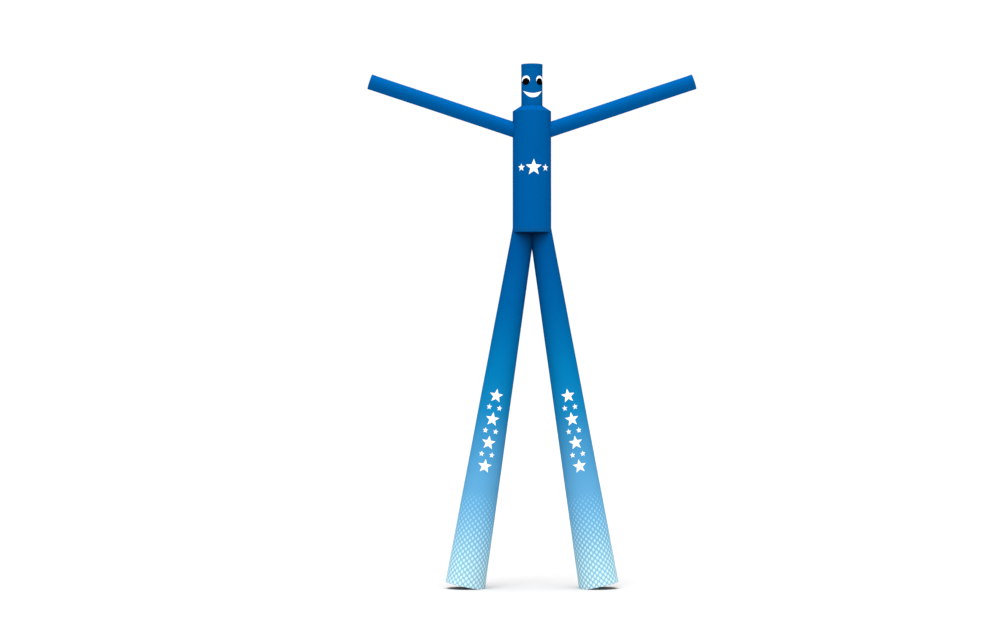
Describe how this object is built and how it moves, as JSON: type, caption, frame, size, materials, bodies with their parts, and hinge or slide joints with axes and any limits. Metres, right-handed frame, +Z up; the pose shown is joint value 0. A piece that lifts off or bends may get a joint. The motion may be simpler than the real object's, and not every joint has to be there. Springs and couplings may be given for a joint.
{
  "type": "inflatable air dancer",
  "caption": "Tall figure of blown-up cloth tubes on spread tapered legs, with raised arms and a printed face, open at hands, head and feet for the blowers' air.",
  "frame": {"origin": "on the ground, midway between the feet", "axes": "+Z up, the face looks towards -Y, +X is to the right of a viewer who looks at the face"},
  "size_m": [3.776, 0.4596, 6],
  "materials": {
    "head_cloth": "satin, printed ripstop polyester",
    "shoulder_cloth": "satin, printed ripstop polyester",
    "torso_cloth": "satin, printed ripstop polyester",
    "gusset_cloth": "satin, printed ripstop polyester",
    "arm_cloth": "satin, printed ripstop polyester",
    "leg_cloth": "satin, printed ripstop polyester"
  },
  "bodies": {
    "root": {"head_tube": "head_cloth", "shoulder_cone": "shoulder_cloth", "torso_tube": "torso_cloth", "base_gusset_front": "gusset_cloth", "base_gusset_back": "gusset_cloth", "arm_left": "arm_cloth", "arm_right": "arm_cloth", "leg_left": "leg_cloth", "leg_right": "leg_cloth"}
  },
  "joints": []
}
